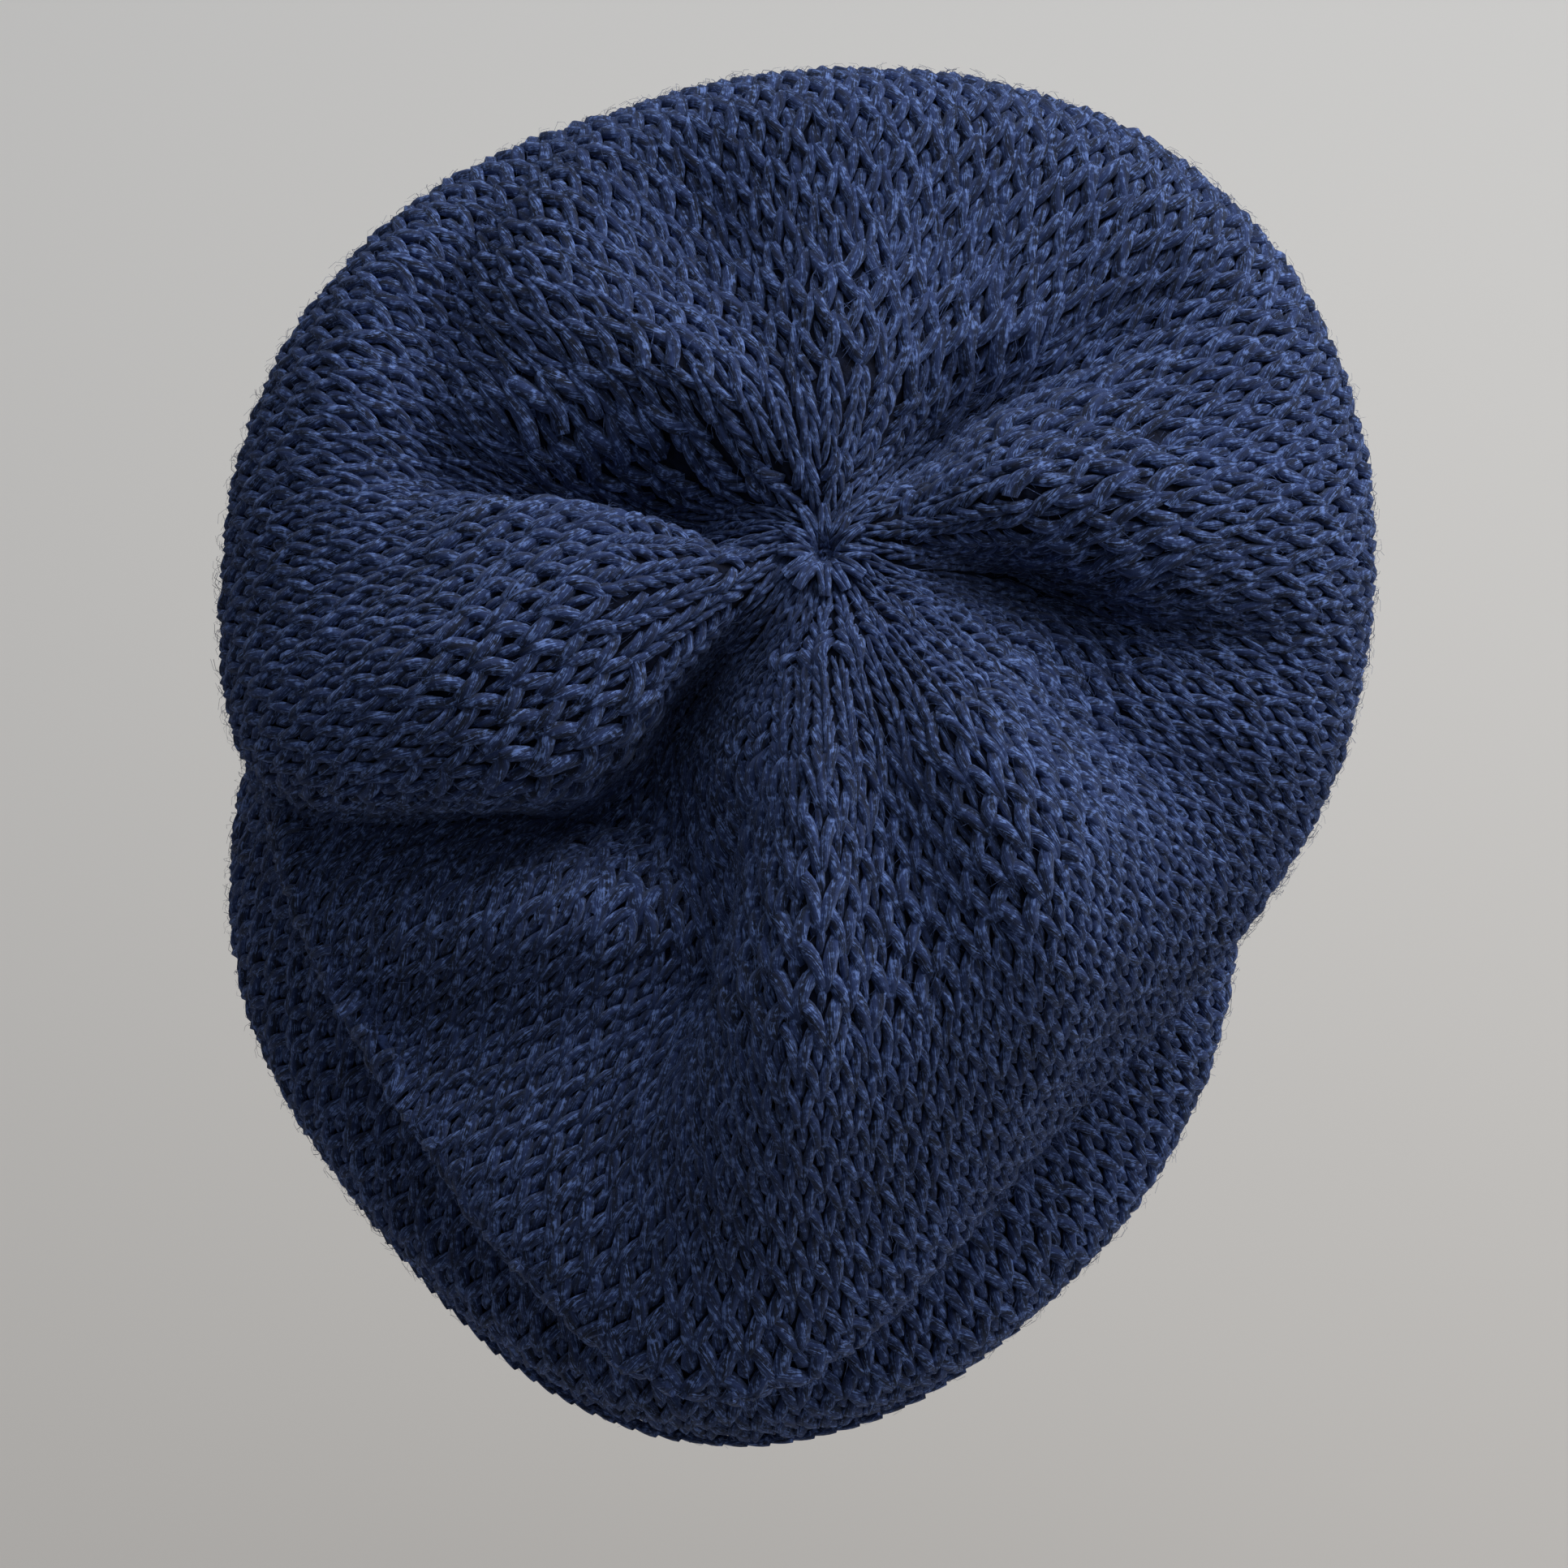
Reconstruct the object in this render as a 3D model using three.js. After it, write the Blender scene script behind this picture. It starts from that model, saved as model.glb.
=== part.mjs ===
// A slouchy knitted beanie as it sits when worn: a close band round the head opening, a wide bag that
// slouches back over the band, and an end face whose folds run in to a gathered crown.
// Millimetres. +Z is up as worn, -Y is the forehead, +Y the nape, -X the wearer's right.
// The origin is the middle of the head opening.
import * as THREE from 'three';

// Driving sizes
const WALL_THICKNESS = 4;
const KNIT_LENGTH = 240;
const BAG_EDGE_ALONG = 0.5;
const RIM_ROUNDING = 1.4;
const BAND_STEP = 0.02;
const GATHER_GAP = 0.25;
const GATHER_DEPTH = 0.2;
const GATHER_YARN_RADIUS = 1.7;
const GATHER_LOOPS = 9;
const GATHER_LOOP_DEPTH = 0.12;

// Facets of the solids
const ROUND_STEPS = 80;
const OUTER_STEPS = { tube: 13, end: 32 };
const INNER_STEPS = { tube: 8, end: 15 };
const FINE_STEPS = 360;
const FOLD_SHARING = 0.6;
const EASING_PASSES = 2;
const FULL_EASING_DEPTH = 12;
const GATHER_ROUND_STEPS = 36;
const GATHER_TUBE_STEPS = 6;

// How the inner face of the wall follows a fold, for each millimetre that it lies inside the outer face
const CREASE_WIDENING = 1.2;
const PETAL_FLATTENING = 0.1;
const SWELL_FLATTENING = 0.15;

// Steps for measuring the directions of the smooth form
const ALONG_STEP = 0.001;
const ANGLE_STEP = 0.1;

const KNIT_COLOUR = 0x2b3d6b;
const GATHER_COLOUR = 0x24345e;

// Turns rows of values into records with named columns
function table(columns, ...rows) {
  return rows.map((row) => Object.fromEntries(columns.map((column, i) => [column, row[i]])));
}

// The eight reaches of a section, from the wearer's right round over the front to the left and the back
const REACHES = ['right', 'rightFront', 'front', 'leftFront', 'left', 'leftBack', 'back', 'rightBack'];

// Sections across the knitted tube, from the rim to the gather.
// along: share of the knit length. x, y, z: middle of the section. tilt: lean of its axis towards the nape.
const SECTIONS = table(
  ['name', 'along', 'x', 'y', 'z', 'tilt', ...REACHES],
  ['rim', 0.0, 0, 0, 0, 22, 86, 90, 98, 91, 86, 86, 98, 90],
  ['band', 0.09, 0, 9, 22, 25, 95, 96, 100, 97, 94, 89, 100, 95],
  ['band top', 0.2, -1, 17, 47, 30, 88, 98, 104, 97, 86, 71, 84, 76],
  ['bag underside', 0.36, -3, 24, 66, 37, 101, 115, 114, 107, 88, 82, 100, 86],
  ['bag edge', 0.5, -4, 31, 85, 41, 108, 129, 119, 111, 94, 95, 110, 86],
  ['shoulder', 0.62, -7, 37, 103, 43, 98, 111, 102, 97, 86, 86, 98, 83],
  ['end face', 0.76, -14, 38, 119, 36, 66, 68, 62, 62, 64, 65, 76, 64],
  ['plain crown', 0.9, -17, 33.5, 125.5, 34, 33, 33, 31, 31, 34, 34, 35, 34],
  ['pinch', 0.965, -17, 33, 125, 34, 14, 14, 14, 14, 14, 14, 14, 14],
  ['gather', 1.0, -17, 30, 122.8, 34, 5, 5, 5, 5, 5, 5, 5, 5],
);

// Places where the bag reaches further out than its sections say.
// angle: round the section, from the wearer's right over the front. spread: degrees of turn.
// run: share of the knit length.
const SWELLS = table(
  ['name', 'angle', 'reach', 'spread', 'along', 'run'],
  ['nape tip', 267, 15, 17, 0.46, 0.16],
);

// Folds that run out from the gather. A positive depth is a crease, a negative one the ridge of a petal.
// The angles are those of its line at the gather, a third and two thirds of the way out, and the bag's edge.
// starts, deepest and ends: how far out, as a share of the way to the bag's edge.
// lean: how far the bottom slips sideways for each millimetre of depth, under the petal beside it.
const FOLDS = table(
  ['name', 'atGather', 'atThird', 'atTwoThirds', 'atEdge', 'starts', 'deepest', 'ends',
    'depth', 'widthAtGather', 'widthAtEdge', 'lean'],
  ['left crease', 147, 152, 155, 157, 0.0, 0.2, 0.75, 20, 2.8, 7, -0.55],
  ['petal lip', 236, 233, 211, 193, 0.0, 0.22, 1.35, 27, 3.6, 11, 0.42],
  ['right crease', 346, 351, 357, 361, 0.0, 0.22, 0.95, 14, 3, 9, -0.6],
  ['right hollow', 337, 337, 341, 345, 0.05, 0.4, 1.1, 13, 5, 16, 0],
  ['upper crease', 56, 47, 41, 37, 0.0, 0.18, 0.95, 12, 3, 8, 0],
  ['lower hollow', 238, 245, 250, 256, 0.12, 0.36, 1.0, 11, 3.5, 12, -0.75],
  ['lip hollow', 236, 241, 236, 217, 0.2, 0.52, 1.3, 19, 7, 28, 0],
  ['upper hollow', 220, 190, 133, 106, 0.45, 0.7, 1.1, 9, 16, 16, 0],
  ['top dip', 108, 107, 103, 98, 0.3, 0.6, 1.05, 5, 5, 14, 0],
  ['top left petal', 112, 123, 126, 122, 0.0, 0.22, 1.0, -9, 6, 20, 0],
  ['top right petal', 92, 86, 78, 71, 0.0, 0.22, 1.0, -9, 7, 20, 0],
  ['right petal', 22, 18, 15, 12, 0.0, 0.24, 1.05, -9, 6, 18, 0],
  ['ridge petal', 300, 305, 309, 313, 0.0, 0.28, 1.05, -13, 8, 23, 0],
  ['lower petal', 274, 269, 271, 275, 0.0, 0.26, 1.0, -11, 6, 14, 0],
  ['left petal', 182, 192, 189, 183, 0.0, 0.28, 1.1, -9, 7, 26, 0],
);
const FOLD_STATIONS = [0, 1 / 3, 2 / 3, 1, 1.3];
const PAST_EDGE_TURN = 0.9;
const WIDEST_FOLD_PLACE = 1.2;

// Slack wrinkles round the front of the tube. slope: rise along the knitting for each degree of turn.
const WRINKLES = table(
  ['name', 'angle', 'spread', 'along', 'slope', 'depth', 'width'],
  ['front', 95, 55, 0.3, 0.0004, 4, 14],
  ['right front', 35, 40, 0.24, -0.001, 4, 12],
  ['left front', 150, 40, 0.26, 0.0012, 4, 13],
);

const radians = THREE.MathUtils.degToRad;
const bell = (offset) => Math.exp(-offset * offset);
const turnBetween = (angle, other) => THREE.MathUtils.euclideanModulo(angle - other + 180, 360) - 180;

// Value at share t between two values with their slopes
function hermite(t, start, startSlope, end, endSlope) {
  const rest = 1 - t;
  const values = (1 + 2 * t) * rest * rest * start + t * t * (3 - 2 * t) * end;
  return values + t * rest * rest * startSlope - t * t * rest * endSlope;
}

// Slope of a smooth curve at one of its knots
function slopeAt(knots, values, i) {
  const rise = (k) => (values[k + 1] - values[k]) / (knots[k + 1] - knots[k]);
  if (i === 0) return rise(0);
  if (i === knots.length - 1) return rise(i - 1);
  const before = knots[i] - knots[i - 1];
  const after = knots[i + 1] - knots[i];
  return (rise(i - 1) * after + rise(i) * before) / (before + after);
}

// Smooth curve through the values at the knots
function smoothCurve(place, knots, values) {
  let i = knots.findLastIndex((knot) => knot <= place);
  i = THREE.MathUtils.clamp(i, 0, knots.length - 2);
  const span = knots[i + 1] - knots[i];
  const startSlope = slopeAt(knots, values, i) * span;
  const endSlope = slopeAt(knots, values, i + 1) * span;
  return hermite((place - knots[i]) / span, values[i], startSlope, values[i + 1], endSlope);
}

const SECTION_PLACES = SECTIONS.map((section) => section.along);

function sectionValue(column, along) {
  return smoothCurve(along, SECTION_PLACES, SECTIONS.map((section) => section[column]));
}

// Reach of the section at a place along the tube, in the direction of an angle
function reachAt(along, angle, inset) {
  const turn = THREE.MathUtils.euclideanModulo(angle, 360) / (360 / REACHES.length);
  const first = Math.floor(turn);
  const reach = (k) => sectionValue(REACHES[(first + k + REACHES.length) % REACHES.length], along);
  const startSlope = (reach(1) - reach(-1)) / 2;
  const endSlope = (reach(2) - reach(0)) / 2;
  const smooth = hermite(turn - first, reach(0), startSlope, reach(1), endSlope);
  return SWELLS.reduce((sum, swell) => {
    const round = bell(turnBetween(angle, swell.angle) / swell.spread);
    const flattening = 1 - inset * SWELL_FLATTENING;
    return sum + swell.reach * flattening * round * bell((along - swell.along) / swell.run);
  }, smooth);
}

// Point of the smooth form, before its folds, for the outer face or for one that will lie inset inwards
function formPoint(along, angle, inset) {
  const tilt = radians(sectionValue('tilt', along));
  const reach = reachAt(along, angle, inset);
  const across = reach * Math.cos(radians(angle));
  const forward = reach * Math.sin(radians(angle));
  return new THREE.Vector3(
    sectionValue('x', along) - across,
    sectionValue('y', along) - forward * Math.cos(tilt),
    sectionValue('z', along) + forward * Math.sin(tilt),
  );
}

// Directions of the smooth form: outwards, round the tube, and the millimetres to a radian round it
function formDirections(along, angle, inset) {
  const before = formPoint(Math.max(along - ALONG_STEP, 0), angle, inset);
  const after = formPoint(Math.min(along + ALONG_STEP, 1), angle, inset);
  const up = after.sub(before);
  const angleBefore = formPoint(along, angle - ANGLE_STEP, inset);
  const round = formPoint(along, angle + ANGLE_STEP, inset).sub(angleBefore);
  const perRadian = round.length() / radians(2 * ANGLE_STEP);
  round.normalize();
  const out = new THREE.Vector3().crossVectors(round, up).normalize();
  return { out, round, perRadian };
}

// Share of a fold's depth at a place on the way out from the gather
function foldShare(fold, outness) {
  const rising = THREE.MathUtils.smoothstep(outness, fold.starts, fold.deepest);
  const falling = 1 - THREE.MathUtils.smoothstep(outness, fold.deepest, fold.ends);
  return rising * falling;
}

// Angle of a fold's line at a place on the way out from the gather
function foldAngle(fold, outness) {
  const pastEdge = fold.atEdge + (fold.atEdge - fold.atTwoThirds) * PAST_EDGE_TURN;
  const angles = [fold.atGather, fold.atThird, fold.atTwoThirds, fold.atEdge, pastEdge];
  return smoothCurve(Math.min(outness, FOLD_STATIONS.at(-1)), FOLD_STATIONS, angles);
}

// Depth of all folds and wrinkles at a place, and its slip sideways, on a face that lies inset inwards
function foldsAt(along, angle, perRadian, inset) {
  const outness = (1 - along) / (1 - BAG_EDGE_ALONG);
  let depth = 0;
  let slip = 0;
  for (const fold of FOLDS) {
    const widthShare = Math.min(outness, WIDEST_FOLD_PLACE);
    const isCrease = fold.depth > 0;
    const widening = isCrease ? inset * CREASE_WIDENING : 0;
    const flattening = isCrease ? 1 : 1 - inset * PETAL_FLATTENING;
    const width = THREE.MathUtils.lerp(fold.widthAtGather, fold.widthAtEdge, widthShare) + widening;
    const offset = radians(turnBetween(angle, foldAngle(fold, outness))) * perRadian;
    const foldDepth = fold.depth * flattening * foldShare(fold, outness) * bell(offset / width);
    depth += foldDepth;
    slip += foldDepth * fold.lean;
  }
  for (const wrinkle of WRINKLES) {
    const turn = turnBetween(angle, wrinkle.angle);
    const offset = (along - wrinkle.along - wrinkle.slope * turn) * KNIT_LENGTH;
    depth += wrinkle.depth * bell(turn / wrinkle.spread) * bell(offset / (wrinkle.width + inset));
  }
  return { depth, slip };
}

// Point of the knitted wall, on its outer face or on a face that lies inset inwards
function wallPoint(along, angle, inset) {
  const { out, round, perRadian } = formDirections(along, angle, inset);
  const { depth, slip } = foldsAt(along, angle, perRadian, inset);
  const point = formPoint(along, angle, inset);
  point.addScaledVector(out, -depth - inset);
  return point.addScaledVector(round, -slip);
}

// Angles that put the points of a ring closer together where folds make its length longer
function evenAngles(along, inset) {
  const fineAngle = 360 / FINE_STEPS;
  const lengths = [0];
  let before = wallPoint(along, 0, inset);
  let formBefore = formPoint(along, 0, inset);
  for (let i = 1; i <= FINE_STEPS; i += 1) {
    const point = wallPoint(along, i * fineAngle, inset);
    const form = formPoint(along, i * fineAngle, inset);
    const folded = point.distanceTo(before);
    const smooth = form.distanceTo(formBefore);
    lengths.push(lengths.at(-1) + THREE.MathUtils.lerp(smooth, folded, FOLD_SHARING));
    before = point;
    formBefore = form;
  }
  const spacing = lengths.at(-1) / ROUND_STEPS;
  return Array.from({ length: ROUND_STEPS }, (_, j) => {
    const i = lengths.findLastIndex((length) => length <= j * spacing);
    const share = (j * spacing - lengths[i]) / (lengths[i + 1] - lengths[i]);
    return (i + share) * fineAngle;
  });
}

// Ring of points round the wall. Each point keeps how far its facets may be eased, by the depth of its fold.
function wallRing(along, inset) {
  return evenAngles(along, inset).map((angle) => {
    const point = wallPoint(along, angle, inset);
    const sunk = point.distanceTo(formPoint(along, angle, inset)) - inset;
    point.easing = THREE.MathUtils.clamp(sunk / FULL_EASING_DEPTH, 0, 1);
    return point;
  });
}

// Eases each point of a deep fold half way to the middle of its neighbours; the first and last ring stay
function easedRings(rings) {
  const columns = rings[0].length;
  return rings.map((ring, i) => ring.map((point, j) => {
    if (i === 0 || i === rings.length - 1) return point;
    const middle = new THREE.Vector3();
    middle.add(rings[i - 1][j]).add(rings[i + 1][j]);
    middle.add(ring[(j + 1) % columns]).add(ring[(j + columns - 1) % columns]);
    const eased = point.clone().lerp(middle.multiplyScalar(0.25), point.easing / 2);
    eased.easing = point.easing;
    return eased;
  }));
}

// One face of the wall, as rings from the rim to the gather
function wallFace(steps, inset) {
  const places = [];
  for (let i = 0; i < steps.tube; i += 1) places.push((BAG_EDGE_ALONG * i) / steps.tube);
  for (let i = 0; i <= steps.end; i += 1) {
    places.push(BAG_EDGE_ALONG + ((1 - BAG_EDGE_ALONG) * i) / steps.end);
  }
  let rings = places.map((along) => wallRing(along, inset));
  for (let pass = 0; pass < EASING_PASSES; pass += 1) rings = easedRings(rings);
  return rings;
}

// The rounded lower edge, half way through the wall and a little below the rim
function rimRing() {
  const outer = wallRing(0, 0);
  const inner = wallRing(0, WALL_THICKNESS);
  const above = wallRing(BAND_STEP, WALL_THICKNESS / 2);
  return outer.map((point, i) => {
    const middle = point.clone().add(inner[i]).multiplyScalar(0.5);
    const down = middle.clone().sub(above[i]).normalize();
    return middle.addScaledVector(down, RIM_ROUNDING);
  });
}

// Two triangles for a four-cornered facet, parted along its shorter diagonal so that folds stay smooth
function splitQuad([a, b, c, d], points) {
  const partedAtFirst = points[a].distanceTo(points[c]) <= points[b].distanceTo(points[d]);
  return partedAtFirst ? [a, b, c, a, c, d] : [a, b, d, b, c, d];
}

// Closed body from rings of points that follow each other round a hollow wall, back to the first ring
function closedRings(rings) {
  const columns = rings[0].length;
  const points = rings.flat();
  const indices = [];
  rings.forEach((ring, i) => {
    const row = i * columns;
    const nextRow = ((i + 1) % rings.length) * columns;
    for (let j = 0; j < columns; j += 1) {
      const next = (j + 1) % columns;
      const corners = [row + j, row + next, nextRow + next, nextRow + j];
      indices.push(...splitQuad(corners, points));
    }
  });
  const geometry = new THREE.BufferGeometry().setFromPoints(points);
  geometry.setIndex(indices);
  geometry.computeVertexNormals();
  return geometry;
}

function namedMesh(name, geometry, color) {
  const material = new THREE.MeshStandardMaterial({ color, roughness: 0.95, metalness: 0 });
  const mesh = new THREE.Mesh(geometry, material);
  mesh.name = name;
  return mesh;
}

// The hat's one knitted piece: up the outer face from rim to gather, and down the inner face to the rim
function knitBody() {
  const outer = wallFace(OUTER_STEPS, 0);
  const inner = wallFace(INNER_STEPS, WALL_THICKNESS).reverse();
  const rings = [...outer, ...inner, rimRing()];
  return namedMesh('knit_body', closedRings(rings), KNIT_COLOUR);
}

// The yarn drawn through the last loops: a tight ring, a little fuller at each loop that it holds
function gatherYarn() {
  const gather = SECTIONS.at(-1);
  const middleRadius = gather.front - GATHER_GAP - GATHER_YARN_RADIUS;
  const rings = [];
  for (let i = 0; i < GATHER_TUBE_STEPS; i += 1) {
    const tube = (i * 2 * Math.PI) / GATHER_TUBE_STEPS;
    const ring = [];
    for (let j = 0; j < GATHER_ROUND_STEPS; j += 1) {
      const turn = (j * 2 * Math.PI) / GATHER_ROUND_STEPS;
      const loop = 1 - GATHER_LOOP_DEPTH * (0.5 - 0.5 * Math.cos(turn * GATHER_LOOPS));
      const reach = middleRadius + GATHER_YARN_RADIUS * loop * Math.cos(tube);
      const height = GATHER_YARN_RADIUS * loop * Math.sin(tube);
      ring.push(new THREE.Vector3(reach * Math.cos(turn), reach * Math.sin(turn), height));
    }
    rings.push(ring);
  }
  const mesh = namedMesh('gather_yarn', closedRings(rings), GATHER_COLOUR);
  const lean = radians(gather.tilt);
  const inwards = new THREE.Vector3(0, -Math.sin(lean), -Math.cos(lean));
  mesh.position.set(gather.x, gather.y, gather.z).addScaledVector(inwards, GATHER_DEPTH);
  mesh.rotation.x = -lean;
  return mesh;
}

const beanie = new THREE.Group();
beanie.name = 'slouchy_beanie';
beanie.add(knitBody(), gatherYarn());

export default beanie;
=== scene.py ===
# A slouchy navy beanie in chunky yarn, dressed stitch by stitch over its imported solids.
# The hat's own lengths are in millimetres and its angles in degrees. The floor, the camera, the lights and
# the finished meshes are in metres.
import math

import bpy
import numpy as np
from mathutils import Matrix, Vector


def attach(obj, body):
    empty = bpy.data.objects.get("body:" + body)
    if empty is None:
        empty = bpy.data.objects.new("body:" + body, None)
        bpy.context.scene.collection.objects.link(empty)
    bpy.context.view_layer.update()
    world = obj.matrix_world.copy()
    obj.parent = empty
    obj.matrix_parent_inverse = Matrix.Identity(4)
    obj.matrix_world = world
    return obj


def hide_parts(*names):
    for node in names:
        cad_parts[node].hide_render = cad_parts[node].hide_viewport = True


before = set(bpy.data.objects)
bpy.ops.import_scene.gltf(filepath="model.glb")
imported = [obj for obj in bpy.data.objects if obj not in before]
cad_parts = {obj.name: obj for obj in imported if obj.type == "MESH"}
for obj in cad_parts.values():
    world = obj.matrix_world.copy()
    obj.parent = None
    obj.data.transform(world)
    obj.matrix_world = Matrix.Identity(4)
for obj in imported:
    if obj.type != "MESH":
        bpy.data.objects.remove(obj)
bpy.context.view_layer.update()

MM = 0.001
SEED = 41

# Form of the hat, from the same tables as its solids

REACHES = 8
KNIT_LENGTH = 240.0
BAG_EDGE_ALONG = 0.5
WALL_THICKNESS = 4.0
CREASE_WIDENING = 1.2
PETAL_FLATTENING = 0.1
SWELL_FLATTENING = 0.15
FOLD_STATIONS = (0, 1 / 3, 2 / 3, 1, 1.3)
PAST_EDGE_TURN = 0.9
WIDEST_FOLD_PLACE = 1.2
ALONG_STEP = 0.001
ANGLE_STEP = 0.1
LEAST_LENGTH = 1e-9

# Columns of the sections, after the name
ALONG_COLUMN, X_COLUMN, Y_COLUMN, Z_COLUMN, TILT_COLUMN, REACH_COLUMN = range(1, 7)

# name, share of the length, middle x, y, z, tilt, then the reach to the right, right front, front,
# left front, left, left back, back and right back
SECTIONS = (
    ("rim", 0.0, 0, 0, 0, 22, 86, 90, 98, 91, 86, 86, 98, 90),
    ("band", 0.09, 0, 9, 22, 25, 95, 96, 100, 97, 94, 89, 100, 95),
    ("band top", 0.2, -1, 17, 47, 30, 88, 98, 104, 97, 86, 71, 84, 76),
    ("bag underside", 0.36, -3, 24, 66, 37, 101, 115, 114, 107, 88, 82, 100, 86),
    ("bag edge", 0.5, -4, 31, 85, 41, 108, 129, 119, 111, 94, 95, 110, 86),
    ("shoulder", 0.62, -7, 37, 103, 43, 98, 111, 102, 97, 86, 86, 98, 83),
    ("end face", 0.76, -14, 38, 119, 36, 66, 68, 62, 62, 64, 65, 76, 64),
    ("plain crown", 0.9, -17, 33.5, 125.5, 34, 33, 33, 31, 31, 34, 34, 35, 34),
    ("pinch", 0.965, -17, 33, 125, 34, 14, 14, 14, 14, 14, 14, 14, 14),
    ("gather", 1.0, -17, 30, 122.8, 34, 5, 5, 5, 5, 5, 5, 5, 5),
)

# name, angle, reach, spread in degrees, share of the length, run
SWELLS = (("nape tip", 267, 15, 17, 0.46, 0.16),)

# name, angle at the gather, a third out, two thirds out and the bag's edge, where it starts, is deepest
# and ends, depth (a petal's ridge is negative), width at the gather and at the edge, lean
FOLDS = (
    ("left crease", 147, 152, 155, 157, 0.0, 0.2, 0.75, 20, 2.8, 7, -0.55),
    ("petal lip", 236, 233, 211, 193, 0.0, 0.22, 1.35, 27, 3.6, 11, 0.42),
    ("right crease", 346, 351, 357, 361, 0.0, 0.22, 0.95, 14, 3, 9, -0.6),
    ("right hollow", 337, 337, 341, 345, 0.05, 0.4, 1.1, 13, 5, 16, 0),
    ("upper crease", 56, 47, 41, 37, 0.0, 0.18, 0.95, 12, 3, 8, 0),
    ("lower hollow", 238, 245, 250, 256, 0.12, 0.36, 1.0, 11, 3.5, 12, -0.75),
    ("lip hollow", 236, 241, 236, 217, 0.2, 0.52, 1.3, 19, 7, 28, 0),
    ("upper hollow", 220, 190, 133, 106, 0.45, 0.7, 1.1, 9, 16, 16, 0),
    ("top dip", 108, 107, 103, 98, 0.3, 0.6, 1.05, 5, 5, 14, 0),
    ("top left petal", 112, 123, 126, 122, 0.0, 0.22, 1.0, -9, 6, 20, 0),
    ("top right petal", 92, 86, 78, 71, 0.0, 0.22, 1.0, -9, 7, 20, 0),
    ("right petal", 22, 18, 15, 12, 0.0, 0.24, 1.05, -9, 6, 18, 0),
    ("ridge petal", 300, 305, 309, 313, 0.0, 0.28, 1.05, -13, 8, 23, 0),
    ("lower petal", 274, 269, 271, 275, 0.0, 0.26, 1.0, -11, 6, 14, 0),
    ("left petal", 182, 192, 189, 183, 0.0, 0.28, 1.1, -9, 7, 26, 0),
)

# name, angle, spread in degrees, share of the length, slope, depth, width
WRINKLES = (
    ("front", 95, 55, 0.3, 0.0004, 4, 14),
    ("right front", 35, 40, 0.24, -0.001, 4, 12),
    ("left front", 150, 40, 0.26, 0.0012, 4, 13),
)


def bell(offset):
    return np.exp(-offset * offset)


def turn_between(angle, other):
    return (angle - other + 180) % 360 - 180


def smooth_step(value, low, high):
    share = np.clip((value - low) / (high - low), 0, 1)
    return share * share * (3 - 2 * share)


def hermite(share, start, start_slope, end, end_slope):
    rest = 1 - share
    values = (1 + 2 * share) * rest * rest * start + share * share * (3 - 2 * share) * end
    return values + share * rest * rest * start_slope - share * share * rest * end_slope


def smooth_curve(place, knots, values):
    """Smooth curve through the values at the knots."""
    knots = np.asarray(knots, float)
    values = np.asarray(values, float)
    gaps = np.diff(knots)
    rises = np.diff(values) / gaps
    slopes = np.empty_like(values)
    slopes[0] = rises[0]
    slopes[-1] = rises[-1]
    slopes[1:-1] = (rises[:-1] * gaps[1:] + rises[1:] * gaps[:-1]) / (gaps[:-1] + gaps[1:])
    first = np.clip(np.searchsorted(knots, place, side="right") - 1, 0, len(knots) - 2)
    gap = gaps[first]
    share = (place - knots[first]) / gap
    return hermite(share, values[first], slopes[first] * gap, values[first + 1], slopes[first + 1] * gap)


def section_value(column, along):
    """Value from a column of the sections, at a place along the tube."""
    places = [section[ALONG_COLUMN] for section in SECTIONS]
    return smooth_curve(along, places, [section[column] for section in SECTIONS])


def reach_at(along, angle, inset):
    """Reach of the section at a place along the tube, in the direction of an angle."""
    along, angle = np.broadcast_arrays(along, angle)
    reaches = np.stack([section_value(REACH_COLUMN + i, along) for i in range(REACHES)])
    turn = (angle % 360) / (360 / REACHES)
    first = np.floor(turn).astype(int)
    before, start, end, after = (
        np.take_along_axis(reaches, ((first + step) % REACHES)[None], 0)[0] for step in (-1, 0, 1, 2)
    )
    reach = hermite(turn - first, start, (end - before) / 2, end, (after - start) / 2)
    for _, middle, extra, spread, place, run in SWELLS:
        full = extra * (1 - inset * SWELL_FLATTENING)
        reach = reach + full * bell(turn_between(angle, middle) / spread) * bell((along - place) / run)
    return reach


def form_points(along, angle, inset):
    """Points of the smooth form, before its folds."""
    tilt = np.radians(section_value(TILT_COLUMN, along))
    reach = reach_at(along, angle, inset)
    across = reach * np.cos(np.radians(angle))
    forward = reach * np.sin(np.radians(angle))
    x = section_value(X_COLUMN, along) - across
    y = section_value(Y_COLUMN, along) - forward * np.cos(tilt)
    z = section_value(Z_COLUMN, along) + forward * np.sin(tilt)
    return np.stack(np.broadcast_arrays(x, y, z), -1)


def unit(vectors):
    return vectors / np.maximum(np.linalg.norm(vectors, axis=-1, keepdims=True), LEAST_LENGTH)


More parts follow.
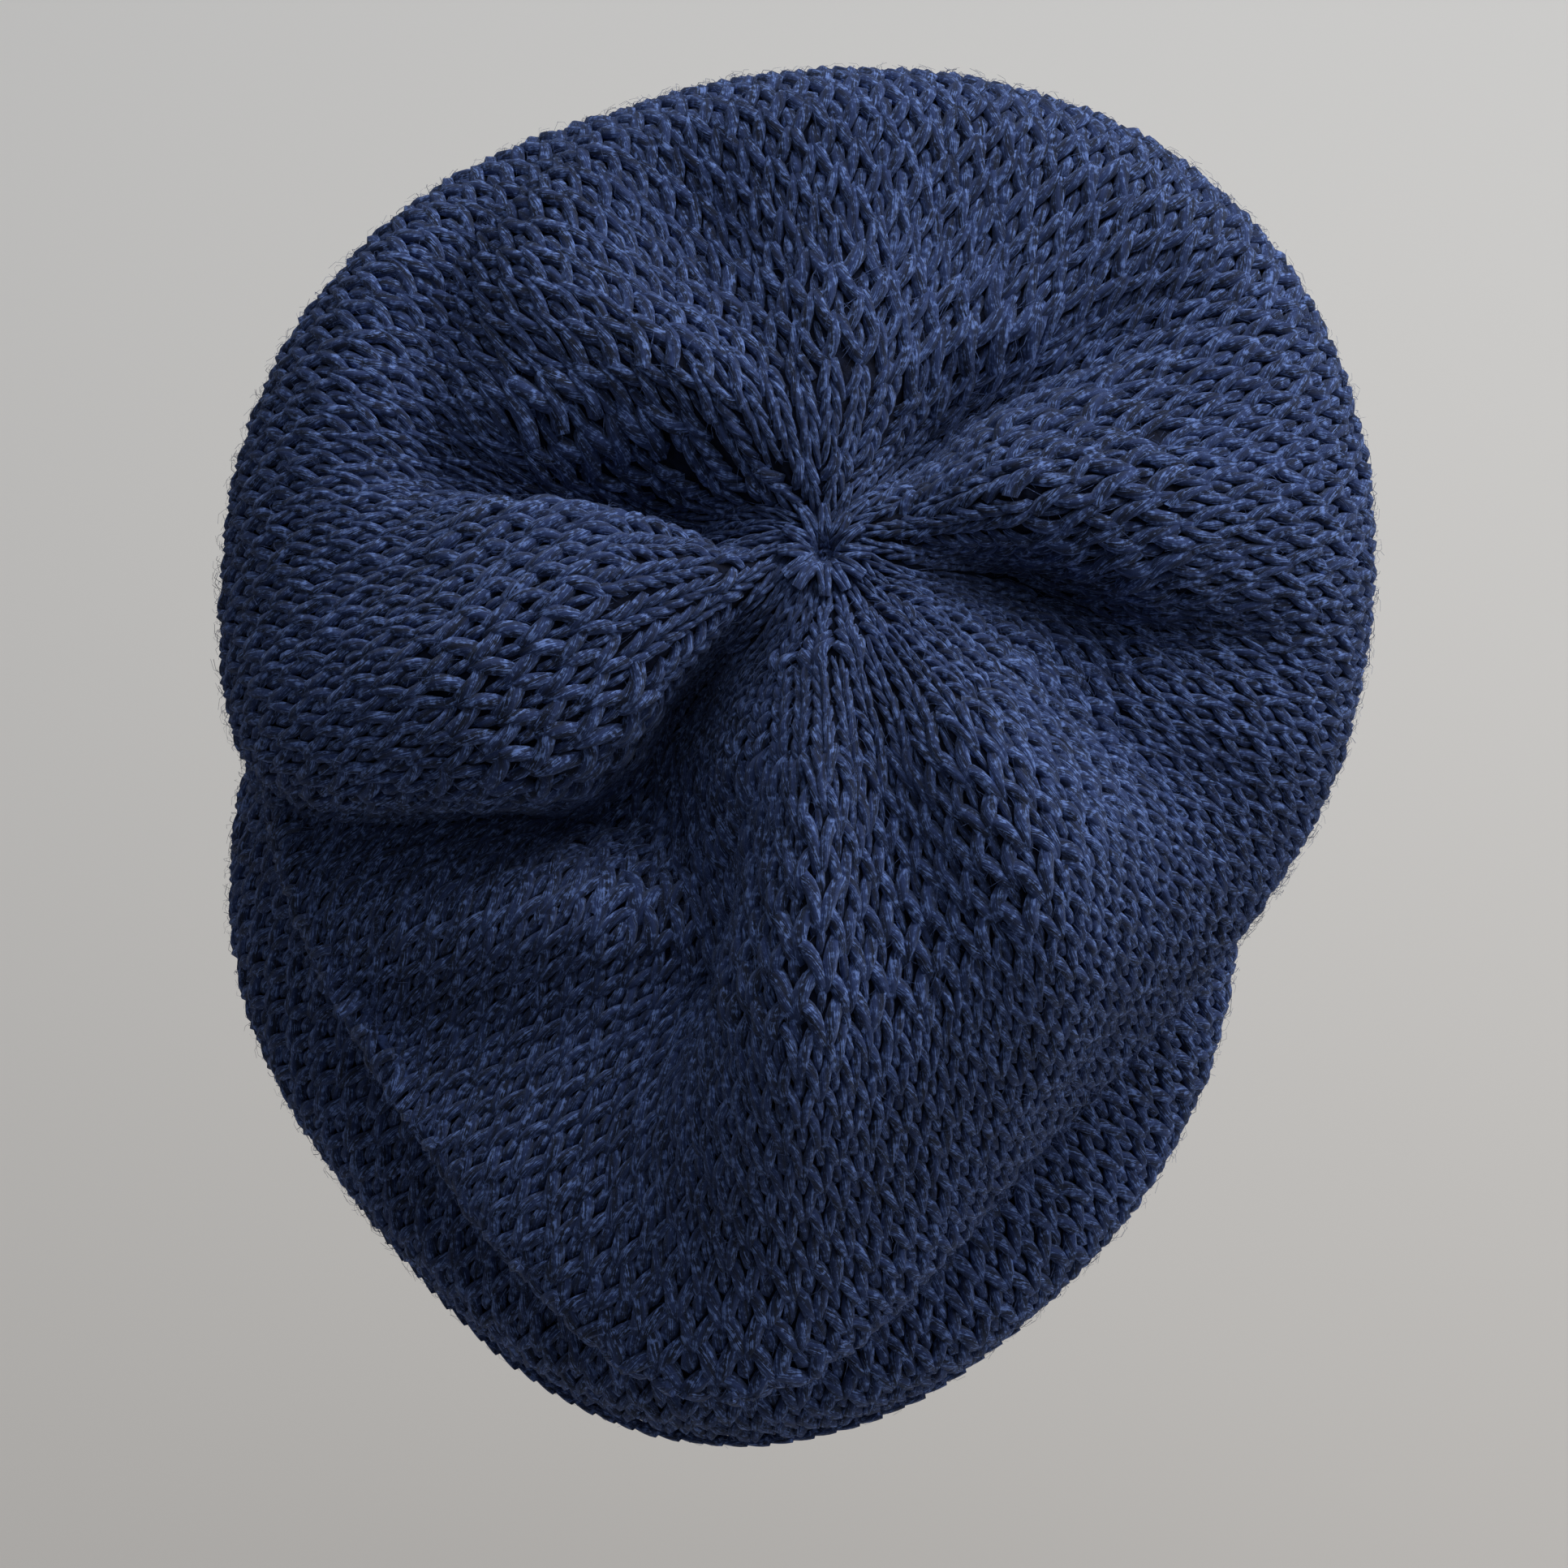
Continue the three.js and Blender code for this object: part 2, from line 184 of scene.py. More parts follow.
def folds_at(along, angle, per_radian, inset):
    """Depth of all folds and wrinkles, and their slip sideways, on a face that lies inset inwards."""
    outness = (1 - along) / (1 - BAG_EDGE_ALONG)
    depth = np.zeros(per_radian.shape)
    slip = np.zeros(per_radian.shape)
    for _, *angles, starts, deepest, ends, deep, near_width, far_width, lean in FOLDS:
        angles.append(angles[-1] + (angles[-1] - angles[-2]) * PAST_EDGE_TURN)
        line = smooth_curve(np.minimum(outness, FOLD_STATIONS[-1]), FOLD_STATIONS, angles)
        width = near_width + (far_width - near_width) * np.minimum(outness, WIDEST_FOLD_PLACE)
        if deep > 0:
            width = width + inset * CREASE_WIDENING
        else:
            deep = deep * (1 - inset * PETAL_FLATTENING)
        share = smooth_step(outness, starts, deepest) * (1 - smooth_step(outness, deepest, ends))
        offset = np.radians(turn_between(angle, line)) * per_radian
        fold_depth = deep * share * bell(offset / width)
        depth = depth + fold_depth
        slip = slip + fold_depth * lean
    for _, middle, spread, place, slope, deep, width in WRINKLES:
        turn = turn_between(angle, middle)
        offset = (along - place - slope * turn) * KNIT_LENGTH
        depth = depth + deep * bell(turn / spread) * bell(offset / (width + inset))
    return depth, slip


def wall_points(along, angle, inset):
    """Points of the knitted wall, on its outer face or on a face that lies inset inwards."""
    before = form_points(np.maximum(along - ALONG_STEP, 0), angle, inset)
    after = form_points(np.minimum(along + ALONG_STEP, 1), angle, inset)
    turned = form_points(along, angle + ANGLE_STEP, inset) - form_points(along, angle - ANGLE_STEP, inset)
    per_radian = np.linalg.norm(turned, axis=-1) / math.radians(2 * ANGLE_STEP)
    out = unit(np.cross(turned, after - before))
    depth, slip = folds_at(along, angle, per_radian, inset)
    smooth = form_points(along, angle, inset)
    return smooth - out * (depth + inset)[..., None] - unit(turned) * slip[..., None]


# Lay of the knitting: rows, and wales, the columns of stitches, eased to lie evenly over the folds

FINE_ROWS = 181
FINE_ROUND = 288
FINE_SHARES = 577
EASING_ROUNDS = 3
EASING_STEPS = 260
FINE_ALONG = np.linspace(0, 1, FINE_ROWS)
FINE_ANGLE = np.arange(FINE_ROUND) * 360 / FINE_ROUND
FINE_SHARE = np.linspace(0, 1, FINE_SHARES)
FINE_POINTS = wall_points(FINE_ALONG[:, None], FINE_ANGLE[None, :], 0.0)


def divergence(up_steps, round_steps):
    """Sum at each place of the steps that come in, less those that go out."""
    total = np.roll(round_steps, 1, axis=1) - round_steps
    total[1:] += up_steps
    total[:-1] -= up_steps
    return total


def divergence_size(up_weights, round_weights):
    """Sum at each place of the weights of all its steps."""
    total = round_weights + np.roll(round_weights, 1, axis=1)
    total[1:] += up_weights
    total[:-1] += up_weights
    return total


def eased_field(start, up_targets, round_targets, up_weights, round_weights, held):
    """Values whose steps up and round the hat come as near as can be to the targets."""
    free = np.ones(start.shape)
    free[0] = 0 if held else 1
    inverse = free / divergence_size(up_weights, round_weights)
    field = start.copy()

    def steps(values):
        up_steps = up_weights * (values[1:] - values[:-1])
        return divergence(up_steps, round_weights * (np.roll(values, -1, axis=1) - values))

    rest = (divergence(up_weights * up_targets, round_weights * round_targets) - steps(field)) * free
    eased = rest * inverse
    way = eased.copy()
    size = np.sum(rest * eased)
    for _ in range(EASING_STEPS):
        pushed = steps(way) * free
        share = size / np.sum(way * pushed)
        field += share * way
        rest -= share * pushed
        eased = rest * inverse
        next_size = np.sum(rest * eased)
        way = eased + way * (next_size / size)
        size = next_size
    return field


def middles(values):
    """Values half way up and half way round to the next place."""
    return (values[1:] + values[:-1]) / 2, (np.roll(values, -1, axis=1) + values) / 2


def slope_round(values):
    """Slope of the values round the hat, for one step."""
    return (np.roll(values, -1, axis=1) - np.roll(values, 1, axis=1)) / 2


def dot(first, second):
    return np.sum(first * second, axis=-1)


def way_up(rows, up_slope, round_slope):
    """Direction on the fabric in which its rows rise the most."""
    row_rise = np.gradient(rows, axis=0)
    row_turn = slope_round(rows)
    rise_size = dot(up_slope, up_slope)
    turn_size = dot(round_slope, round_slope)
    slant = dot(up_slope, round_slope)
    whole = rise_size * turn_size - slant * slant
    up_share = (turn_size * row_rise - slant * row_turn) / whole
    round_share = (rise_size * row_turn - slant * row_rise) / whole
    return unit(up_share[..., None] * up_slope + round_share[..., None] * round_slope)


def knit_lay(points):
    """Angle, and length of knitting from the rim, for each fine row and each share of the way round."""
    up_edges = points[1:] - points[:-1]
    round_edges = np.roll(points, -1, axis=1) - points
    up_sizes = np.linalg.norm(up_edges, axis=-1)
    round_sizes = np.linalg.norm(round_edges, axis=-1)
    heights = np.concatenate([0 * up_sizes[:1], np.cumsum(up_sizes, axis=0)])
    weights = (middles(round_sizes)[0] / up_sizes, np.gradient(heights, axis=0) / round_sizes)
    up_slope = np.gradient(points, axis=0)
    round_slope = slope_round(points)
    up = unit(up_slope)
    rows = np.broadcast_to(np.cumsum(np.append(0, up_sizes.mean(axis=1)))[:, None], points.shape[:2])
    for _ in range(EASING_ROUNDS):
        half_up, half_round = middles(up)
        targets = (dot(up_edges, unit(half_up)), dot(round_edges, unit(half_round)))
        rows = eased_field(rows, *targets, *weights, True)
        up = way_up(rows, up_slope, round_slope)
    side = unit(np.cross(up, unit(np.cross(round_slope, up_slope))))
    ring_lengths = round_sizes.sum(axis=1)[:, None, None]
    half_up, half_round = middles(side / ring_lengths)
    targets = (dot(up_edges, half_up), dot(round_edges, half_round) - 1 / FINE_ROUND)
    drift = eased_field(0 * rows, *targets, *weights, False)
    wales = FINE_ANGLE / 360 + drift - drift.mean()
    return lay_tables(rows, wales)


def lay_tables(rows, wales):
    """Tables of angle and of length, by fine row and share, from the rows and wales at each fine angle."""
    angles = np.concatenate([FINE_ANGLE - 360, FINE_ANGLE, FINE_ANGLE + 360, [720]])
    laid = []
    lengths = []
    for row, wale in zip(rows, wales):
        turns = np.maximum.accumulate(np.concatenate([wale - 1, wale, wale + 1, wale[:1] + 2]))
        laid.append(np.interp(FINE_SHARE, turns, angles))
        lengths.append(np.interp(laid[-1], angles, np.concatenate([row, row, row, row[:1]])))
    return np.array(laid), np.array(lengths)


WALE_ANGLES, ROW_LENGTHS = knit_lay(FINE_POINTS)
RING_LENGTHS = np.linalg.norm(np.diff(FINE_POINTS, axis=1), axis=-1).sum(axis=1)


def between(laid, along, share):
    """Value from a table of fine rows and shares, at places along the tube and shares of a turn."""
    row = np.clip(along, 0, 1) * (FINE_ROWS - 1)
    column = share * (FINE_SHARES - 1)
    first_row = np.minimum(row.astype(int), FINE_ROWS - 2)
    first_column = np.minimum(column.astype(int), FINE_SHARES - 2)
    rise = row - first_row
    turn = column - first_column
    lower = laid[first_row, first_column] * (1 - turn) + laid[first_row, first_column + 1] * turn
    upper = laid[first_row + 1, first_column] * (1 - turn) + laid[first_row + 1, first_column + 1] * turn
    return lower * (1 - rise) + upper * rise


def wale_angle(along, share):
    """Angle of a wale at a place along the tube. share may run past a whole turn."""
    along, share = np.broadcast_arrays(along, share)
    turns = np.floor(share)
    return between(WALE_ANGLES, along, share - turns) + turns * 360


def row_length(along, share):
    """Length of knitting from the rim to a place."""
    return between(ROW_LENGTHS, along, share % 1)


def knit_points(along, share, inset):
    """Points of the wall at places along the tube and shares of a turn, by the lay of the knitting."""
    along, share = np.broadcast_arrays(np.clip(along, 0, 1), share)
    return wall_points(along, wale_angle(along, share), inset)


# Stitch layout

TUCK_PITCH = 4.4
TUCK_HALF_ROW = 4.8
PLAIN_PITCH = 6.0
PLAIN_COURSE = 3.3
STITCH_INSET = 2.45
STRAND_INSET = 2.6
STITCH_JITTER = {"turn": 0.07, "size": 0.05, "lift": 0.13}
WIDTH_LIMITS = (0.5, 1.35)
LENGTH_LIMITS = (0.85, 1.4)
PROBE_WALE = 0.3
PROBE_ROW = 1.2
LEAST_KNITTED_SHARE = 0.5
BAND_WALES = 144

# name, wales, and the shares of the length between which its rows lie
TUCK_ZONES = (
    ("band_stitches", BAND_WALES, 0.0, 0.335),
    ("bag_stitches", 168, 0.335, 0.55),
    ("upper_bag_stitches", 168, 0.55, 0.755),
    ("end_face_stitches", 108, 0.755, 0.885),
)
PLAIN_ZONES = (("crown_stitches", 56, 0.885, 0.948), ("gathered_stitches", 24, 0.948, 1.0))
DRAWN_FROM = (0.955, 1.0)
GATHER_DRAW = 2.0

rng = np.random.default_rng(SEED)


def wale_rows(wales, first, last, step, stagger, shift=0):
    """Places along each wale, a step of knitting apart, between two places along the tube."""
    along = []
    share = []
    for wale in range(wales):
        wale_share = (wale + 0.5) / wales
        lengths = [np.interp(wale_share, FINE_SHARE, row) for row in ROW_LENGTHS]
        lengths = np.maximum.accumulate(lengths)
        rows = np.arange(stagger * ((wale + shift) % 2), lengths[-1] / step, 1 + stagger) + 0.5
        places = np.interp(rows * step, lengths, FINE_ALONG)
        places = places[(places > first) & (places < last)]
        along.append(places)
        share.append(np.full(len(places), wale_share))
    return np.concatenate(along), np.concatenate(share)


def frames_at(along, share, wales, inset):
    """Place, directions, pitch and stretch of the fabric: across the wales, up the wale and outwards."""
    reach = PROBE_WALE / wales
    rise = PROBE_ROW / KNIT_LENGTH
    place = knit_points(along, share, inset)
    across = knit_points(along, share + reach, inset) - knit_points(along, share - reach, inset)
    top = np.minimum(along + rise, 1)
    bottom = np.maximum(along - rise, 0)
    up = knit_points(top, share, inset) - knit_points(bottom, share, inset)
    knitted = row_length(top, share) - row_length(bottom, share)
    stretch = np.linalg.norm(up, axis=-1) / np.maximum(knitted, LEAST_KNITTED_SHARE * PROBE_ROW)
    up = unit(up)
    out = unit(np.cross(across, up))
    side = np.cross(up, out)
    pitch = dot(across, side) / (2 * PROBE_WALE)
    return place, side, up, out, pitch, stretch


def turned_about(first, second, turn):
    """Two directions at right angles, turned together from the first towards the second."""
    cosine = np.cos(turn)[:, None]
    sine = np.sin(turn)[:, None]
    return first * cosine + second * sine, second * cosine - first * sine


def quaternions(side, up, out):
    """Turn of each stitch, from its three directions."""
    found = []
    for axes in zip(side, up, out):
        matrix = Matrix([Vector(axis) for axis in axes]).transposed()
        found.append(tuple(matrix.to_quaternion()))
    return np.array(found)


def stitch_points(name, place, axes, size, shade):
    """Loose points that carry where each stitch lies, how it is turned, its size and its tone."""
    mesh = bpy.data.meshes.new(name)
    mesh.vertices.add(len(place))
    mesh.vertices.foreach_set("co", (place * MM).astype(np.float32).ravel())
    turn = mesh.attributes.new("turn", "QUATERNION", "POINT")
    turn.data.foreach_set("value", quaternions(*axes).astype(np.float32).ravel())
    sizes = mesh.attributes.new("size", "FLOAT_VECTOR", "POINT")
    sizes.data.foreach_set("vector", size.astype(np.float32).ravel())
    tone = mesh.attributes.new("tone", "FLOAT", "POINT")
    tone.data.foreach_set("value", shade.astype(np.float32))
    return mesh


def laid_stitches(name, along, share, wales, nominal_pitch, inset):
    """Points for a set of stitches, with the small unevenness of hand knitting."""
    count = len(along)
    place, side, up, out, pitch, stretch = frames_at(along, share, wales, inset)
    turn = rng.normal(0, STITCH_JITTER["turn"], count)
    side, up = turned_about(side, up, turn)
    place = place + out * rng.normal(0, STITCH_JITTER["lift"], count)[:, None]
    wide = np.clip(pitch / nominal_pitch, *WIDTH_LIMITS)
    long = np.clip(stretch, *LENGTH_LIMITS)
    uneven = 1 + rng.normal(0, STITCH_JITTER["size"], (count, 3))
    size = np.stack([wide, long, np.sqrt(wide)], -1) * uneven
    return stitch_points(name, place, (side, up, out), size, rng.random(count))


# Geometry Nodes

LEG_POINTS = ("Start", "Start Handle", "End Handle", "End")


def new_tree(name, inputs):
    """A tree that takes a geometry and the named inputs, with its input and output nodes."""
    tree = bpy.data.node_groups.new(name, "GeometryNodeTree")
    tree.interface.new_socket("Geometry", in_out="INPUT", socket_type="NodeSocketGeometry")
    for title, kind in inputs:
        tree.interface.new_socket(title, in_out="INPUT", socket_type=kind)
    tree.interface.new_socket("Geometry", in_out="OUTPUT", socket_type="NodeSocketGeometry")
    return tree, tree.nodes.new("NodeGroupInput"), tree.nodes.new("NodeGroupOutput")


def input_of(node, key):
    """Input of a node, by n and its number, or by its name with underscores for spaces."""
    if key[0] == "n" and key[1:].isdigit():
        return node.inputs[int(key[1:])]
    return node.inputs[key.replace("_", " ")]


def add(tree, kind, settings=None, **sockets):
    """A node with its settings, and its inputs linked or set."""
    node = tree.nodes.new(kind)
    for key, value in (settings or {}).items():
        setattr(node, key, value)
    for key, value in sockets.items():
        socket = input_of(node, key)
        if isinstance(value, bpy.types.NodeSocket):
            tree.links.new(value, socket)
        else:
            socket.default_value = value
    return node


def named_attribute(tree, name, kind):
    return add(tree, "GeometryNodeInputNamedAttribute", {"data_type": kind}, Name=name).outputs["Attribute"]


def stored(tree, geometry, name, kind, value):
    """The geometry with a value stored at each of its points."""
    settings = {"data_type": kind, "domain": "POINT"}
    store = add(tree, "GeometryNodeStoreNamedAttribute", settings, Geometry=geometry, Name=name, Value=value)
    return store.outputs[0]


def math_node(tree, operation, first, second=0.0):
    return add(tree, "ShaderNodeMath", {"operation": operation}, n0=first, n1=second).outputs[0]


def multiply_add(tree, value, share, rest):
    return add(tree, "ShaderNodeMath", {"operation": "MULTIPLY_ADD"}, n0=value, n1=share, n2=rest).outputs[0]


def yarn_round(tree, sides):
    """Cross-section of the yarn, which keeps its own directions for the fibres."""
    circle = add(tree, "GeometryNodeCurvePrimitiveCircle", Resolution=sides, Radius=1.0).outputs["Curve"]
    place = tree.nodes.new("GeometryNodeInputPosition").outputs[0]
    return stored(tree, circle, "yarn_round", "FLOAT_VECTOR", place)


def yarn_tube(tree, path, radius, sides, thin_end, fullest=1.0):
    """Yarn along a path, thinner at both ends, which keeps its length for the fibres."""
    factor = tree.nodes.new("GeometryNodeSplineParameter")
    path = stored(tree, path, "yarn_along", "FLOAT", factor.outputs["Length"])
    share = math_node(tree, "POWER", factor.outputs["Factor"], fullest)
    rest = math_node(tree, "SUBTRACT", 1.0, share)
    hump = math_node(tree, "MULTIPLY", math_node(tree, "MULTIPLY", share, rest), 4.0)
    scale = math_node(tree, "MULTIPLY", multiply_add(tree, hump, 1 - thin_end, thin_end), radius)
    tube = add(tree, "GeometryNodeCurveToMesh", Curve=path, Profile_Curve=yarn_round(tree, sides),
               Scale=scale, Fill_Caps=True)
    return tube.outputs[0]


def bezier_leg(tree, size, path, segments):
    """Path of one leg of a stitch, from its shares of the stitch's width, length and height."""
    leg = add(tree, "GeometryNodeCurvePrimitiveBezierSegment", Resolution=segments)
    for socket, shares in zip(LEG_POINTS, path):
        point = add(tree, "ShaderNodeVectorMath", {"operation": "MULTIPLY"}, n0=size, n1=shares)
        tree.links.new(point.outputs[0], leg.inputs[socket])
    return leg.outputs[0]


def finish_tree(tree, given, result, shape):
    """Repeats a shape on every point, turned and sized as the point says, and gives it its yarn."""
    spread = add(tree, "GeometryNodeInstanceOnPoints", Points=given.outputs["Geometry"], Instance=shape,
                 Rotation=named_attribute(tree, "turn", "QUATERNION"),
                 Scale=named_attribute(tree, "size", "FLOAT_VECTOR"))
    real = add(tree, "GeometryNodeRealizeInstances", Geometry=spread.outputs[0])
    smooth = add(tree, "GeometryNodeSetShadeSmooth", Geometry=real.outputs[0])
    finish = add(tree, "GeometryNodeSetMaterial", Geometry=smooth.outputs[0], Material=given.outputs["Yarn"])
    tree.links.new(finish.outputs[0], result.inputs[0])


def stitch_tree(name, legs, segments, sides, thin_end, fullest=1.0):
    """One stitch of yarn legs, repeated on every point and turned and sized as the point says."""
    inputs = [("Stitch Width", "NodeSocketFloat"), ("Stitch Length", "NodeSocketFloat"),
              ("Stitch Height", "NodeSocketFloat"), ("Yarn Radius", "NodeSocketFloat"),
              ("Yarn", "NodeSocketMaterial")]
    tree, given, result = new_tree(name, inputs)
    size = add(tree, "ShaderNodeCombineXYZ", X=given.outputs["Stitch Width"],
               Y=given.outputs["Stitch Length"], Z=given.outputs["Stitch Height"]).outputs[0]
    joined = tree.nodes.new("GeometryNodeJoinGeometry")
    for path in legs:
        leg = bezier_leg(tree, size, path, segments)
        tube = yarn_tube(tree, leg, given.outputs["Yarn Radius"], sides, thin_end, fullest)
        tree.links.new(tube, joined.inputs[0])
    finish_tree(tree, given, result, joined.outputs[0])
    return tree


def set_input(modifier, name, value):
    """Sets a modifier's named input, by its identifier."""
    for item in modifier.node_group.interface.items_tree:
        if item.item_type == "SOCKET" and item.in_out == "INPUT" and item.name == name:
            modifier[item.identifier] = value


def grown(name, mesh, tree, values):
    """Runs a tree on a mesh and keeps the result as a plain mesh."""
    holder = bpy.data.objects.new(name + "_seed", mesh)
    bpy.context.scene.collection.objects.link(holder)
    modifier = holder.modifiers.new("grow", "NODES")
    modifier.node_group = tree
    for title, value in values.items():
        set_input(modifier, title, value)
    graph = bpy.context.evaluated_depsgraph_get()
    result = bpy.data.meshes.new_from_object(holder.evaluated_get(graph), depsgraph=graph)
    holder.modifiers.remove(modifier)
    bpy.data.objects.remove(holder)
    piece = bpy.data.objects.new(name, result)
    result.name = name
    bpy.context.scene.collection.objects.link(piece)
    return piece


def dressed(piece, node):
    """A piece that rides the hat's only body and stands for one of its solids."""
    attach(piece, "root")
    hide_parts(node)
    return piece


# Materials

# Twist of the yarn, the fibres along it, and the patches and specks over the whole hat
YARN_LAY = 24.0
YARN_PLIES = 3
FIBRE_NOISE = {"Scale": 4.5, "Detail": 4.0, "Roughness": 0.8}
FIBRE_RUN = 0.07
FIBRE_SHIFT = 37.0
PATCH_NOISE = {"Scale": 28.0, "Detail": 2.0}
SPECK_NOISE = {"Scale": 900.0, "Detail": 2.0}

# How much the fibres, patches, stitches and specks change the yarn's tone, and how much painted shade
# darkens the grooves between the plies
FIBRE_TONE = 0.55
PLY_GROOVE_SHADE = 0.35
PATCH_TONE = (-0.06, 0.06)
STITCH_TONE = (-0.07, 0.07)
SPECK_TONE = (-0.1, 0.12)

# Ranges of noise and tone, and what they become
NOISE_RANGE = (0.3, 0.7)
SPECK_RANGE = (0.35, 0.7)
MIDDLE_RANGE = (0.22, 0.62)
GLINT_RANGE = (0.52, 0.63)
YARN_ROUGHNESS = (0.92, 0.74)
FIBRE_RELIEF = 0.8
PLY_RELIEF = 0.5
YARN_RELIEF_DEPTH = 0.3
YARN_FINISH = {
    "Sheen Weight": 0.26,
    "Sheen Roughness": 0.5,
    "Sheen Tint": (0.42, 0.56, 1.0, 1),
    "Specular IOR Level": 0.25,
}

# The back of the knitting: dark and light colours where it lies deep between the stitches, near black as
# painted shade, and on the inside
WOOL_NOISE = {"Scale": 700.0, "Detail": 3.0}
LOOP_RELIEF = 0.5
# Painted shade: the hollows between the knitted loops are darker, mixed with the wool's own random tone
LOOP_HOLLOW_SHADE = 0.25
SHADE_AND_WOOL_RANGE = (0.2, 0.85)
HOLE_SHADE_COLOURS = ((0.002, 0.003, 0.009), (0.007, 0.012, 0.034))
LINING_COLOURS = ((0.012, 0.021, 0.062), (0.060, 0.105, 0.30))
FABRIC_RELIEF = {"Strength": 0.9, "Distance": 0.8 * MM}
FABRIC_FINISH = {"Roughness": 0.95, "Specular IOR Level": 0.2}

FLOOR_NOISE = {"Scale": 1.2, "Detail": 2.0}
FLOOR_COLOURS = ((0.54, 0.523, 0.50), (0.575, 0.558, 0.535))
FLOOR_FAR_PAINTED_LIGHT = (0.96, 0.96, 0.95)
FLOOR_FADE = (-1.0, -0.1)
FLOOR_FINISH = {"Roughness": 0.9}

# Sockets of a Mix node that mixes colours
FIRST_COLOUR, SECOND_COLOUR = 6, 7
MIXED_COLOUR = 2


def new_material(name, finish):
    """A material, its tree and its shader, with the plain values of the shader set."""
    material = bpy.data.materials.new(name)
    material.use_nodes = True
    tree = material.node_tree
    shader = tree.nodes["Principled BSDF"]
    for title, value in finish.items():
        shader.inputs[title].default_value = value
    return material, tree, shader


def mapped(tree, value, source, target=(0, 1)):
    """Value carried from one range to another, and held within it."""
    node = add(tree, "ShaderNodeMapRange", n0=value)
    for i, limit in enumerate((*source, *target)):
        node.inputs[1 + i].default_value = limit
    return node.outputs[0]


def mixed(tree, share, first, second):
    """Colour between two colours, each an output of a node or plain red, green and blue."""
    node = add(tree, "ShaderNodeMix", {"data_type": "RGBA"}, n0=share)
    for place, value in ((FIRST_COLOUR, first), (SECOND_COLOUR, second)):
        socket = node.inputs[place]
        if isinstance(value, bpy.types.NodeSocket):
            tree.links.new(value, socket)
        else:
            socket.default_value = (*value, 1)
    return node.outputs[MIXED_COLOUR]


def noise(tree, place, settings):
    return add(tree, "ShaderNodeTexNoise", Vector=place, **settings).outputs["Fac"]


def attribute(tree, name, output):
    return add(tree, "ShaderNodeAttribute", {"attribute_name": name}).outputs[output]


def object_place(tree):
    return tree.nodes.new("ShaderNodeTexCoord").outputs["Object"]


FIBRE_SOCKETS = (
    ("Dark", "NodeSocketColor", "INPUT"),
    ("Middle", "NodeSocketColor", "INPUT"),
    ("Light", "NodeSocketColor", "INPUT"),
    ("Colour", "NodeSocketColor", "OUTPUT"),
    ("Roughness", "NodeSocketFloat", "OUTPUT"),
    ("Height", "NodeSocketFloat", "OUTPUT"),
)


def twisted_angle(tree, length, tone):
    """Angle round the yarn, turned by its twist and from a start of each stitch's own."""
    part = add(tree, "ShaderNodeSeparateXYZ", Vector=attribute(tree, "yarn_round", "Vector"))
    angle = math_node(tree, "ARCTAN2", part.outputs["Y"], part.outputs["X"])
    twist = math_node(tree, "MULTIPLY", length, 2 * math.pi / YARN_LAY)
    start = math_node(tree, "MULTIPLY", tone, 2 * math.pi)
    return math_node(tree, "ADD", math_node(tree, "ADD", angle, twist), start)


def fibre_noise(tree, length, turned, tone):
    """Streaks of fibre that run along the twisted yarn, other ones on each stitch."""
    run = math_node(tree, "MULTIPLY", length, FIBRE_RUN)
    shift = math_node(tree, "MULTIPLY", tone, FIBRE_SHIFT)
    place = add(tree, "ShaderNodeCombineXYZ", X=math_node(tree, "COSINE", turned),
                Y=math_node(tree, "SINE", turned), Z=math_node(tree, "ADD", run, shift))
    return noise(tree, place.outputs[0], FIBRE_NOISE)


def fibre_group():
    """Twisted plies and stray fibres of the yarn, from the yarn's own length and roundness."""
    tree = bpy.data.node_groups.new("yarn fibres", "ShaderNodeTree")
    for title, kind, put in FIBRE_SOCKETS:
        tree.interface.new_socket(title, in_out=put, socket_type=kind)
    given = tree.nodes.new("NodeGroupInput")
    result = tree.nodes.new("NodeGroupOutput")
    tone = attribute(tree, "tone", "Fac")
    length = math_node(tree, "MULTIPLY", attribute(tree, "yarn_along", "Fac"), 1 / MM)
    turned = twisted_angle(tree, length, tone)
    ply = math_node(tree, "COSINE", math_node(tree, "MULTIPLY", turned, float(YARN_PLIES)))
    ply = mapped(tree, ply, (-1, 1))
    fibre = fibre_noise(tree, length, turned, tone)
    place = object_place(tree)
    patch = mapped(tree, noise(tree, place, PATCH_NOISE), NOISE_RANGE, PATCH_TONE)
    speck = mapped(tree, noise(tree, place, SPECK_NOISE), SPECK_RANGE, SPECK_TONE)
    # Painted shade: the grooves between the plies are darker and the ply ridges lighter
    body = multiply_add(tree, fibre, FIBRE_TONE, math_node(tree, "MULTIPLY", ply, PLY_GROOVE_SHADE))
    body = math_node(tree, "ADD", body, patch)
    body = math_node(tree, "ADD", body, mapped(tree, tone, (0, 1), STITCH_TONE))
    colour = mixed(tree, mapped(tree, body, MIDDLE_RANGE), given.outputs["Dark"], given.outputs["Middle"])
    glint = mapped(tree, math_node(tree, "ADD", fibre, speck), GLINT_RANGE)
    results = {
        "Colour": mixed(tree, glint, colour, given.outputs["Light"]),
        "Roughness": mapped(tree, fibre, NOISE_RANGE, YARN_ROUGHNESS),
        "Height": multiply_add(tree, fibre, FIBRE_RELIEF, math_node(tree, "MULTIPLY", ply, PLY_RELIEF)),
    }
    for title, value in results.items():
        tree.links.new(value, result.inputs[title])
    return tree


FIBRES = fibre_group()


